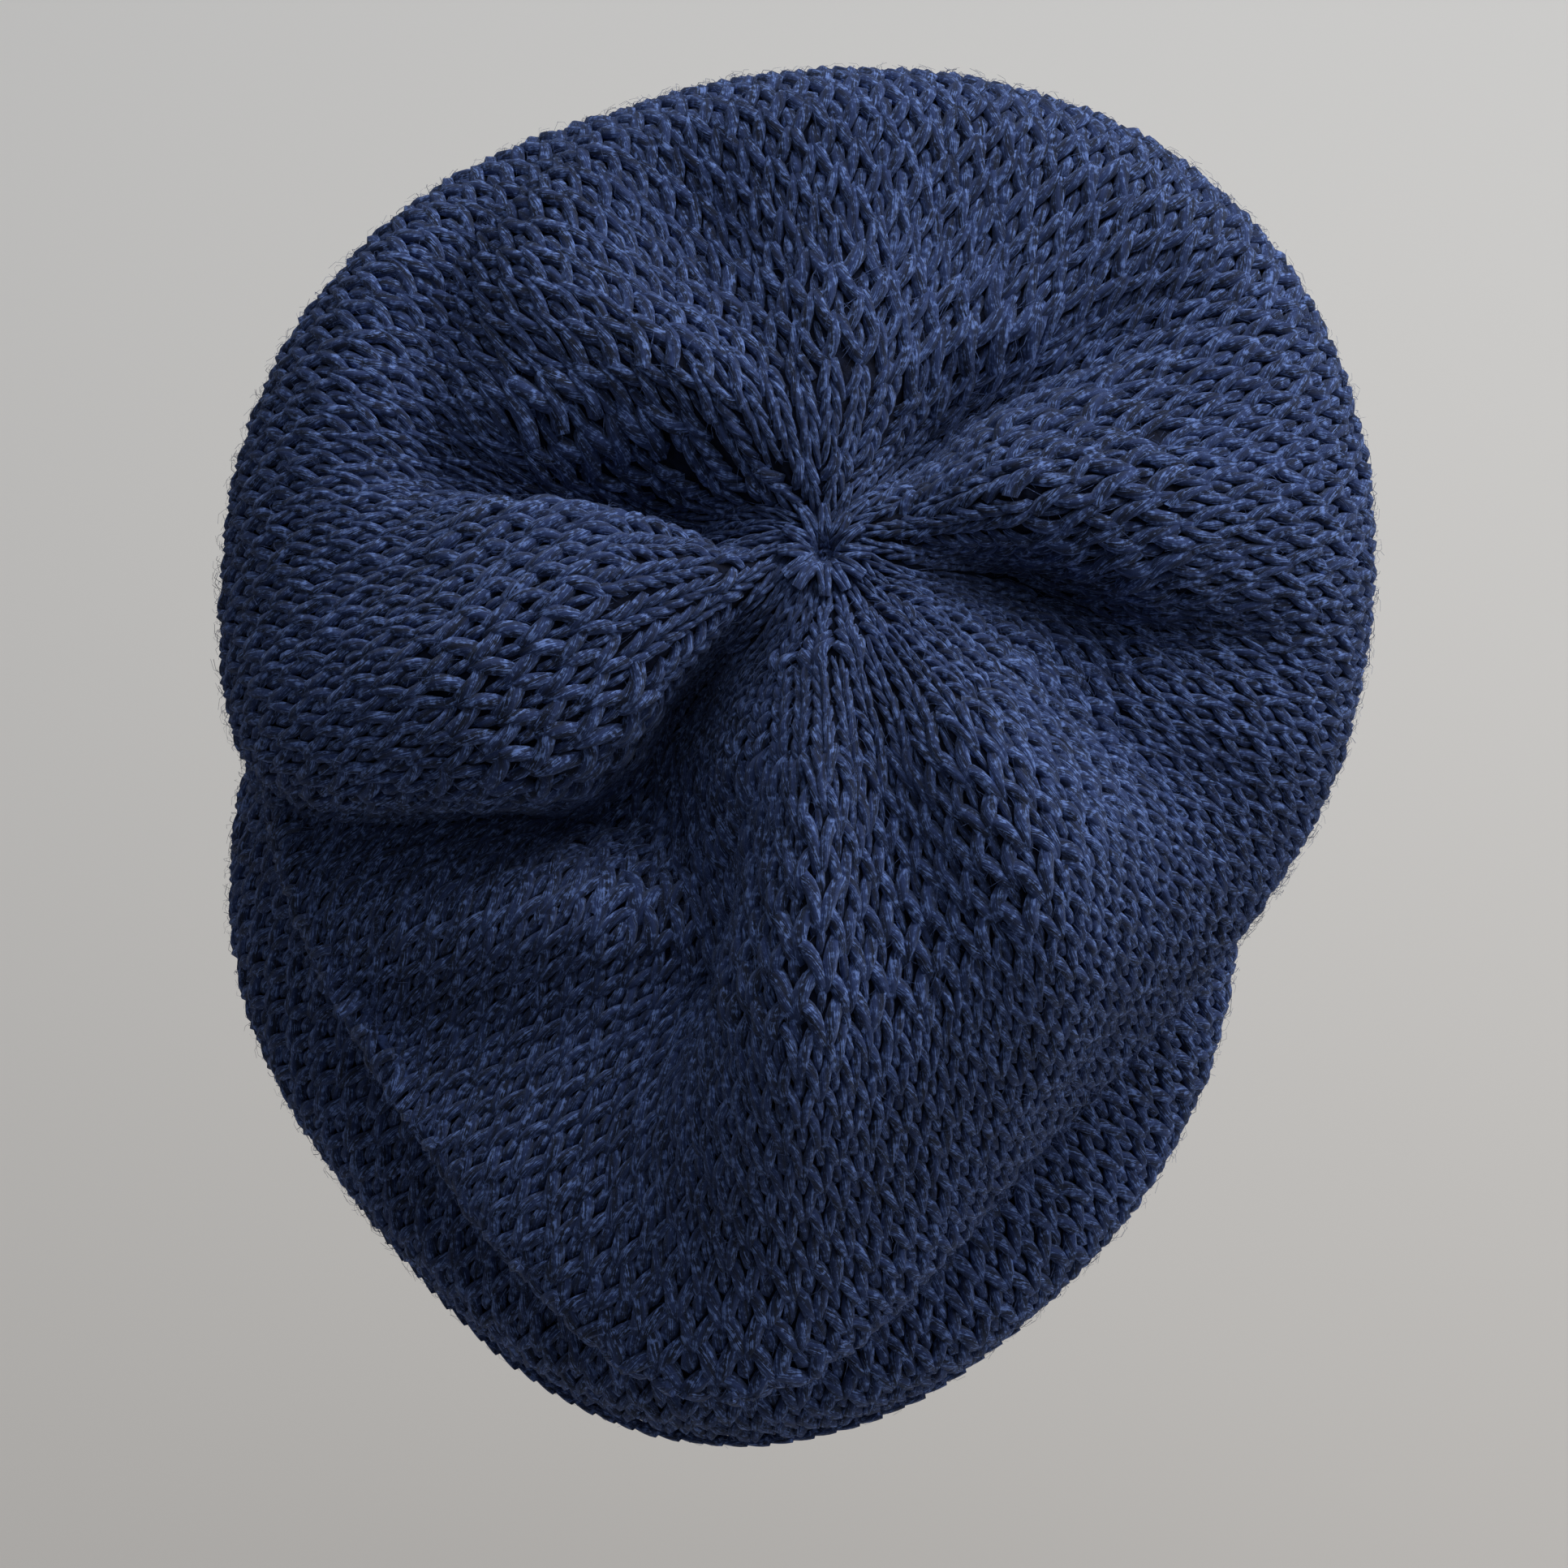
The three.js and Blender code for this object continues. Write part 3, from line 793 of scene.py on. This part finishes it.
def yarn_material(name, dark, middle, light, bump):
    material, tree, shader = new_material(name, YARN_FINISH)
    fibres = add(tree, "ShaderNodeGroup", {"node_tree": FIBRES})
    for title, colour in (("Dark", dark), ("Middle", middle), ("Light", light)):
        fibres.inputs[title].default_value = (*colour, 1)
    tree.links.new(fibres.outputs["Colour"], shader.inputs["Base Color"])
    tree.links.new(fibres.outputs["Roughness"], shader.inputs["Roughness"])
    relief = add(tree, "ShaderNodeBump", Height=fibres.outputs["Height"], Strength=bump,
                 Distance=YARN_RELIEF_DEPTH * MM)
    tree.links.new(relief.outputs[0], shader.inputs["Normal"])
    return material


STITCH_YARN = yarn_material("navy stitch yarn", (0.007, 0.011, 0.028), (0.024, 0.045, 0.145),
                            (0.15, 0.245, 0.58), 1.0)
FIBRE_YARN = yarn_material("navy loose fibre", (0.014, 0.025, 0.075), (0.045, 0.078, 0.21),
                           (0.13, 0.20, 0.46), 0.2)


def fabric_material():
    """Back of the knitting, painted near black as the shade deep between the stitches, and on the hat's
    inside.
    """
    material, tree, shader = new_material("navy knit back", FABRIC_FINISH)
    place = add(tree, "ShaderNodeUVMap", {"uv_map": "wales_and_rows"}).outputs[0]
    part = add(tree, "ShaderNodeSeparateXYZ", Vector=place)
    waves = []
    for way in ("X", "Y"):
        turn = math_node(tree, "MULTIPLY", part.outputs[way], 2 * math.pi)
        waves.append(math_node(tree, "COSINE", turn))
    loops = math_node(tree, "MULTIPLY", *waves)
    wool = noise(tree, object_place(tree), WOOL_NOISE)
    height = math_node(tree, "ADD", math_node(tree, "MULTIPLY", loops, LOOP_RELIEF), wool)
    # Painted shade in the hollows between the loops, with the wool's own random tone
    shade_and_wool = mapped(tree, multiply_add(tree, loops, LOOP_HOLLOW_SHADE, wool), SHADE_AND_WOOL_RANGE)
    # Near black on the outer face: painted shade in the holes between the stitches
    deep = mixed(tree, shade_and_wool, *HOLE_SHADE_COLOURS)
    lining = mixed(tree, shade_and_wool, *LINING_COLOURS)
    colour = mixed(tree, attribute(tree, "inside", "Fac"), deep, lining)
    tree.links.new(colour, shader.inputs["Base Color"])
    relief = add(tree, "ShaderNodeBump", Height=height, **FABRIC_RELIEF)
    tree.links.new(relief.outputs[0], shader.inputs["Normal"])
    return material


def floor_material():
    """Pale floor, with painted light that makes it lighter further off, and clear from below so that the
    underside can be viewed.
    """
    material, tree, shader = new_material("pale studio floor", FLOOR_FINISH)
    place = object_place(tree)
    part = add(tree, "ShaderNodeSeparateXYZ", Vector=place)
    # Painted light: the floor grows lighter further off
    away = mapped(tree, part.outputs["Y"], FLOOR_FADE, (1, 0))
    colour = mixed(tree, noise(tree, place, FLOOR_NOISE), *FLOOR_COLOURS)
    colour = mixed(tree, away, colour, FLOOR_FAR_PAINTED_LIGHT)
    tree.links.new(colour, shader.inputs["Base Color"])
    clear = tree.nodes.new("ShaderNodeBsdfTransparent")
    below = tree.nodes.new("ShaderNodeNewGeometry").outputs["Backfacing"]
    seen = tree.nodes.new("ShaderNodeMixShader")
    for socket, source in zip(seen.inputs, (below, shader.outputs[0], clear.outputs[0])):
        tree.links.new(source, socket)
    tree.links.new(seen.outputs[0], tree.nodes["Material Output"].inputs["Surface"])
    return material


# Pieces

# Paths of the yarn from point to point, as shares of the stitch's width, length and height. The legs of the
# tuck and plain stitches are the right ones.
TUCK_LEG = ((0.05, -0.58, -0.75), (0.26, -0.3, 1.5), (0.2, 0.28, 1.4), (0.85, 0.62, -0.6))
BACK_STRAND = ((0, -0.5, -1.0), (0, -0.25, 1.2), (0, 0.25, 1.2), (0, 0.5, -1.0))
PLAIN_LEG = ((0.09, -0.5, -0.9), (0.13, -0.2, 1.2), (0.26, 0.16, 1.4), (0.31, 0.5, -0.8))
FIBRE_PATH = ((0, -0.5, -1.0), (0.8, -0.2, 1.0), (-0.6, 0.2, 1.2), (0.3, 0.5, 0.6))

# Width, length and height of a stitch, and the radius of its yarn
TUCK_SIZE = (TUCK_PITCH, 6.8, 1.2, 2.25)
STRAND_SIZE = (TUCK_PITCH, 6.0, 1.0, 1.9)
PLAIN_SIZE = (PLAIN_PITCH, 5.6, 1.1, 1.5)
DRAWN_LOOP_SIZE = (3.4, 7.0, 1.0, 1.1)
EDGE_SIZE = (5.4, 6.4, 1.0, 1.35)

# Segments along a leg and sides round its yarn, then the share of the radius left at its ends, and where it
# is fullest: below 1 this moves towards the leg's start
TUCK_SHAPE = (6, 5, 0.66, 0.9)
STRAND_SHAPE = (4, 5, 0.7)
PLAIN_SHAPE = (6, 5, 0.7)
FIBRE_SHAPE = (2, 3, 0.35)

COIL_TURNS = 3.4
COIL_SEGMENTS = 16
COIL_SIDES = 8
COIL_THIN_END = 0.8
COIL_RADIUS = 6.2
COIL_DEPTH = 1.6
COIL_YARN_RADIUS = 1.4
COIL_RISE = -1.2
COIL_TONE = 0.5
DRAWN_LOOPS = 12
DRAWN_LOOP_WANDER = 0.2
DRAWN_LOOP_REACH = 4.6
DRAWN_LOOP_RISE = 1.6
DRAWN_LOOP_DIP = 0.45
RIM_STITCHES = 140

# name, fibres before they are thinned towards the gather, furthest turn from the wale in degrees, rise of
# the free end as an angle in radians, its spread, height above the knitting, length, thickness
FIBRE_SETS = (
    ("loose_fibres", 13200, 180, 0.12, 0.30, 0.35, 2.8, 0.12),
    ("clinging_fibres", 13600, 50, 0.0, 0.16, -0.15, 3.4, 0.20),
)
FIBRES_END = 0.975
FIBRE_STANDOFF = 2.2
FIBRE_BOW = 0.9
FIBRE_ARCH = 0.7
FIBRE_SIZES = (0.5, 1.5)

SHEET_ROUND = 240
SHEET_WALES = 72
SHEET_ROWS = 84
SHEET_OUTER = 2.4
SHEET_INNER = 3.9
FLOOR_REACH = 6.0
FLOOR_LEVEL = -0.32


def both_legs(path):
    """A stitch's right leg and its left one, the right one mirrored."""
    return path, tuple((-x, y, z) for x, y, z in path)


def stitch_sizes(width, length, height, radius, yarn=STITCH_YARN):
    """Values for the inputs of a stitch's tree."""
    return {"Stitch Width": width * MM, "Stitch Length": length * MM, "Stitch Height": height * MM,
            "Yarn Radius": radius * MM, "Yarn": yarn}


PLAIN_STITCH = stitch_tree("plain stitch", both_legs(PLAIN_LEG), *PLAIN_SHAPE)


def tuck_stitches():
    """Staggered raised stitches over the whole hat below its plain crown."""
    tree = stitch_tree("tuck stitch", both_legs(TUCK_LEG), *TUCK_SHAPE)
    pieces = []
    for name, wales, first, last in TUCK_ZONES:
        along, share = wale_rows(wales, first, last, TUCK_HALF_ROW, 1)
        mesh = laid_stitches(name, along, share, wales, TUCK_PITCH, STITCH_INSET)
        pieces.append(dressed(grown(name, mesh, tree, stitch_sizes(*TUCK_SIZE)), "knit_body"))
    return pieces


def back_strands():
    """The strands behind the raised stitches, which show in the holes between them."""
    tree = stitch_tree("back strand", (BACK_STRAND,), *STRAND_SHAPE)
    places = [wale_rows(wales, first, last, TUCK_HALF_ROW, 1, 1) for _, wales, first, last in TUCK_ZONES]
    along, share = (np.concatenate(values) for values in zip(*places))
    mesh = laid_stitches("back_strands", along, share, BAND_WALES, TUCK_PITCH, STRAND_INSET)
    return dressed(grown("back_strands", mesh, tree, stitch_sizes(*STRAND_SIZE)), "knit_body")


def crown_stitches():
    """Plain stitches that run in to the gather, on fewer wales close to it."""
    pieces = []
    for name, wales, first, last in PLAIN_ZONES:
        along, share = wale_rows(wales, first, last, PLAIN_COURSE, 0)
        inset = STITCH_INSET - GATHER_DRAW * smooth_step(along, *DRAWN_FROM)
        mesh = laid_stitches(name, along, share, wales, PLAIN_PITCH, inset)
        pieces.append(dressed(grown(name, mesh, PLAIN_STITCH, stitch_sizes(*PLAIN_SIZE)), "knit_body"))
    return pieces


def gather_frame():
    """Middle of the gather, the direction across it and the direction out of it."""
    gather = SECTIONS[-1]
    tilt = math.radians(gather[TILT_COLUMN])
    middle = np.array(gather[X_COLUMN:Z_COLUMN + 1], float)
    return middle, np.array([1.0, 0, 0]), np.array([0, math.sin(tilt), math.cos(tilt)])


def gather_coil():
    """The drawn yarn, wound flat in the pit of the gather."""
    inputs = [("Coil Radius", "NodeSocketFloat"), ("Coil Depth", "NodeSocketFloat"),
              ("Yarn Radius", "NodeSocketFloat"), ("Yarn", "NodeSocketMaterial")]
    tree, given, result = new_tree("gather coil", inputs)
    depth = math_node(tree, "MULTIPLY", given.outputs["Coil Depth"], -1.0)
    spiral = add(tree, "GeometryNodeCurveSpiral", Resolution=COIL_SEGMENTS, Rotations=COIL_TURNS,
                 Start_Radius=0.0, End_Radius=given.outputs["Coil Radius"], Height=depth)
    tube = yarn_tube(tree, spiral.outputs[0], given.outputs["Yarn Radius"], COIL_SIDES, COIL_THIN_END)
    finish_tree(tree, given, result, tube)
    middle, across, out = gather_frame()
    place = middle + out * COIL_RISE
    axes = [axis[None] for axis in (across, np.cross(out, across), out)]
    mesh = stitch_points("gather_coil", place[None], axes, np.ones((1, 3)), np.array([COIL_TONE]))
    sizes = {"Coil Radius": COIL_RADIUS * MM, "Coil Depth": COIL_DEPTH * MM,
             "Yarn Radius": COIL_YARN_RADIUS * MM, "Yarn": STITCH_YARN}
    return dressed(grown("gather_coil", mesh, tree, sizes), "gather_yarn")


def drawn_loops():
    """The last loops of the knitting, pulled over the drawn yarn to the middle of the gather."""
    middle, across, out = gather_frame()
    wander = rng.uniform(-DRAWN_LOOP_WANDER, DRAWN_LOOP_WANDER, DRAWN_LOOPS)
    turn = 2 * math.pi * (np.arange(DRAWN_LOOPS) + wander) / DRAWN_LOOPS
    away = np.cos(turn)[:, None] * across + np.sin(turn)[:, None] * np.cross(out, across)
    place = middle + away * DRAWN_LOOP_REACH + out * DRAWN_LOOP_RISE
    up = unit(-away - out * DRAWN_LOOP_DIP)
    side = unit(np.cross(up, out))
    uneven = 1 + rng.normal(0, STITCH_JITTER["size"], (DRAWN_LOOPS, 3))
    axes = (side, up, np.cross(side, up))
    mesh = stitch_points("drawn_loops", place, axes, uneven, rng.random(DRAWN_LOOPS))
    return dressed(grown("drawn_loops", mesh, PLAIN_STITCH, stitch_sizes(*DRAWN_LOOP_SIZE)), "knit_body")


def rim_edge():
    """The chain of the cast-on row, lying along the rim."""
    share = (np.arange(RIM_STITCHES) + 0.5) / RIM_STITCHES
    place, side, up, out, _, _ = frames_at(np.zeros(RIM_STITCHES), share, RIM_STITCHES, WALL_THICKNESS / 2)
    uneven = 1 + rng.normal(0, STITCH_JITTER["size"], (RIM_STITCHES, 3))
    mesh = stitch_points("rim_edge", place, (-out, side, -up), uneven, rng.random(RIM_STITCHES))
    return dressed(grown("rim_edge", mesh, PLAIN_STITCH, stitch_sizes(*EDGE_SIZE)), "knit_body")


def fibre_fuzz():
    """Stray fibres: some stand off the knitting all over the hat, others cling along the stitches."""
    tree = stitch_tree("stray fibre", (FIBRE_PATH,), *FIBRE_SHAPE)
    pieces = []
    for name, most, furthest, rise, spread, height, length, thickness in FIBRE_SETS:
        along = rng.random(most) * FIBRES_END
        room = np.interp(along, FINE_ALONG, RING_LENGTHS / RING_LENGTHS.max())
        along = along[rng.random(most) < room]
        count = len(along)
        place, side, up, out, _, _ = frames_at(along, rng.random(count), BAND_WALES, STITCH_INSET)
        side, up = turned_about(side, up, np.radians(rng.uniform(-furthest, furthest, count)))
        up, out = turned_about(up, out, rng.normal(rise, spread, count))
        lift = FIBRE_STANDOFF + height + rng.normal(0, STITCH_JITTER["lift"], count)
        size = np.repeat(rng.uniform(*FIBRE_SIZES, count)[:, None], 3, axis=1)
        mesh = stitch_points(name, place + out * lift[:, None], (side, up, out), size, rng.random(count))
        sizes = stitch_sizes(FIBRE_BOW, length, FIBRE_ARCH, thickness / 2, FIBRE_YARN)
        pieces.append(dressed(grown(name, mesh, tree, sizes), "knit_body"))
    return pieces


def knit_sheet():
    """The closed fabric that the stitches stand on, one wall with an inner and an outer face."""
    along = np.linspace(0, 1, SHEET_ROWS + 1)[:, None]
    share = (np.arange(SHEET_ROUND) / SHEET_ROUND)[None, :]
    drawn = GATHER_DRAW * smooth_step(along, *DRAWN_FROM)
    outer = knit_points(along, share, SHEET_OUTER - drawn)
    inner = knit_points(along, share, SHEET_INNER - drawn)[::-1]
    points = np.concatenate([outer, inner])
    rings = len(points)
    ring, spoke = np.meshgrid(np.arange(rings), np.arange(SHEET_ROUND), indexing="ij")
    next_ring = (ring + 1) % rings
    next_spoke = (spoke + 1) % SHEET_ROUND
    corners = [ring * SHEET_ROUND + spoke, ring * SHEET_ROUND + next_spoke,
               next_ring * SHEET_ROUND + next_spoke, next_ring * SHEET_ROUND + spoke]
    quads = np.stack(corners, -1).reshape(-1, 4)
    mesh = bpy.data.meshes.new("knit_sheet")
    mesh.from_pydata((points.reshape(-1, 3) * MM).tolist(), [], quads.tolist())
    rows_up = np.concatenate([along[:, 0], along[::-1, 0]]) * KNIT_LENGTH / (2 * TUCK_HALF_ROW)
    column = np.stack([spoke, spoke + 1, spoke + 1, spoke], -1).reshape(-1) * SHEET_WALES / SHEET_ROUND
    row = rows_up[np.stack([ring, ring, next_ring, next_ring], -1).reshape(-1)]
    layer = mesh.uv_layers.new(name="wales_and_rows")
    layer.data.foreach_set("uv", np.stack([column, row], -1).astype(np.float32).ravel())
    # The outer face takes the painted shade of the holes, the inner face the lining colours
    inside = np.repeat(np.arange(rings) >= len(outer), SHEET_ROUND)
    mesh.attributes.new("inside", "FLOAT", "POINT").data.foreach_set("value", inside.astype(np.float32))
    mesh.polygons.foreach_set("use_smooth", np.ones(len(quads), bool))
    mesh.materials.append(fabric_material())
    piece = bpy.data.objects.new("knit_sheet", mesh)
    bpy.context.scene.collection.objects.link(piece)
    return dressed(piece, "knit_body")


def studio_floor():
    """A wide floor below the hat, part of the stage and not of the hat."""
    mesh = bpy.data.meshes.new("studio_floor")
    corners = [(across * FLOOR_REACH, along * FLOOR_REACH, FLOOR_LEVEL)
               for across, along in ((-1, -1), (1, -1), (1, 1), (-1, 1))]
    mesh.from_pydata(corners, [], [(0, 1, 2, 3)])
    mesh.materials.append(floor_material())
    floor = bpy.data.objects.new("studio_floor", mesh)
    bpy.context.scene.collection.objects.link(floor)


# Camera and light

VIEW_ELEVATION = 40.0
VIEW_DISTANCE = 1.3
VIEW_AIM = (0.010, 0.0345)
FOCAL_PIXELS = 8432
PHOTO_PIXELS = 1932
SENSOR_WIDTH = 36
LIGHT_AIM = (0, 0.02, 0.08)
AIR_COLOUR = (0.80, 0.82, 0.85, 1)
AIR_STRENGTH = 0.16

# name, share to the right, up and back of the view, distance, size, watts, colour
LIGHTS = (
    ("key", 0.47, 0.80, 0.33, 1.5, 0.8, 16.5, (1.0, 0.98, 0.96)),
    ("side", 0.90, 0.20, 0.40, 1.5, 0.8, 4.8, (1.0, 0.98, 0.97)),
    ("fill", 0.05, 0.80, 0.60, 1.8, 1.2, 6.5, (0.94, 0.97, 1.0)),
)


def view_axes():
    """Directions of the photo's view: to its right, up, and back to the camera."""
    tilt = math.radians(VIEW_ELEVATION)
    right = Vector((-1, 0, 0))
    up = Vector((0, -math.sin(tilt), math.cos(tilt)))
    back = Vector((0, math.cos(tilt), math.sin(tilt)))
    return right, up, back


def photo_camera():
    right, up, back = view_axes()
    data = bpy.data.cameras.new("photo camera")
    data.lens = FOCAL_PIXELS / PHOTO_PIXELS * SENSOR_WIDTH
    data.sensor_width = SENSOR_WIDTH
    camera = bpy.data.objects.new("photo camera", data)
    camera.location = right * VIEW_AIM[0] + up * VIEW_AIM[1] + back * VIEW_DISTANCE
    camera.rotation_euler = Matrix((right, up, back)).transposed().to_euler()
    bpy.context.scene.collection.objects.link(camera)
    bpy.context.scene.camera = camera


def studio_lights():
    right, up, back = view_axes()
    aim = Vector(LIGHT_AIM)
    for name, across, above, behind, distance, size, watts, colour in LIGHTS:
        way = (right * across + up * above + back * behind).normalized()
        data = bpy.data.lights.new(name, "AREA")
        data.energy = watts
        data.size = size
        data.color = colour
        lamp = bpy.data.objects.new(name, data)
        lamp.location = aim + way * distance
        lamp.rotation_euler = way.to_track_quat("Z", "Y").to_euler()
        bpy.context.scene.collection.objects.link(lamp)
    world = bpy.data.worlds.new("studio air")
    world.use_nodes = True
    air = world.node_tree.nodes["Background"]
    air.inputs[0].default_value = AIR_COLOUR
    air.inputs[1].default_value = AIR_STRENGTH
    bpy.context.scene.world = world
    bpy.context.scene.view_settings.view_transform = "Standard"


photo_camera()
studio_lights()
studio_floor()
stitches = tuck_stitches()
stitches.append(back_strands())
stitches += crown_stitches()
stitches += [rim_edge(), drawn_loops(), gather_coil()]
stitches += fibre_fuzz()
sheet = knit_sheet()
